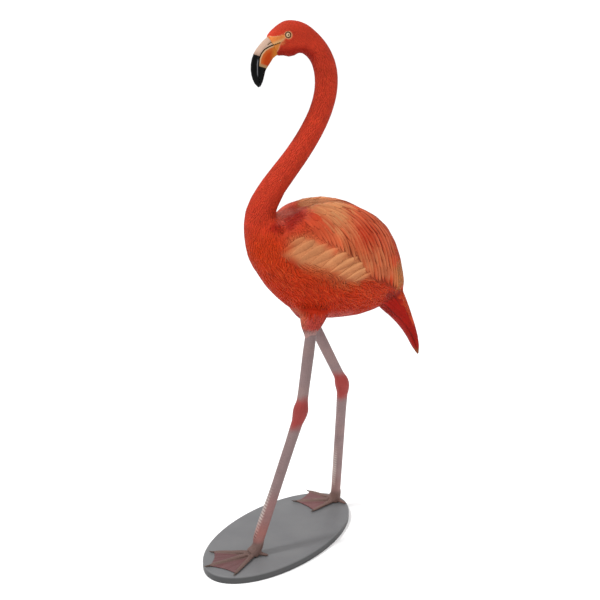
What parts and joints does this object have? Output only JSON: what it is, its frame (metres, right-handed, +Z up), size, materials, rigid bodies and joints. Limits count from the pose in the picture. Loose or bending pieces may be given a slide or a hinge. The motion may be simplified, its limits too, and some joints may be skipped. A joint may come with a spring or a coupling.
{
  "type": "flamingo statue",
  "caption": "Life-size walking flamingo statue in painted cast resin on an oval base plate, with an S-curved neck, hooked bill and webbed feet.",
  "frame": {"origin": "centre of the base plate's flat underside", "axes": "+Z up, the bird walks towards -Y, and its left side is +X"},
  "size_m": [0.3677, 0.6807, 1.4515],
  "materials": {
    "coral_plumage": "satin paint on cast resin feather relief, coral red",
    "wing_plumage": "satin paint on cast resin feather relief, peach and cream over coral",
    "bill": "gloss paint, cream and orange with a black tip",
    "eye": "gloss painted eye, pale yellow with a dark pupil",
    "leg_skin": "satin paint, dusty pink grey with brick red joints",
    "foot_skin": "satin paint, dusty rose brown webs and olive toes",
    "base_paint": "satin mid grey paint"
  },
  "bodies": {
    "root": {"stand_base": "base_paint", "trunk": "coral_plumage", "neck_root": "coral_plumage", "neck_lower": "coral_plumage", "neck_middle": "coral_plumage", "neck_upper": "coral_plumage", "neck_crook": "coral_plumage", "head": "coral_plumage", "bill_upper": "bill", "bill_lower": "bill", "eye_left": "eye", "eye_right": "eye", "wing_left": "wing_plumage", "wing_right": "wing_plumage", "tail": "coral_plumage", "thigh_left": "coral_plumage", "thigh_right": "coral_plumage", "tibia_left": "leg_skin", "tibia_right": "leg_skin", "ankle_left": "leg_skin", "ankle_right": "leg_skin", "tarsus_left": "leg_skin", "tarsus_right": "leg_skin", "foot_left": "foot_skin", "foot_right": "foot_skin"}
  },
  "joints": []
}
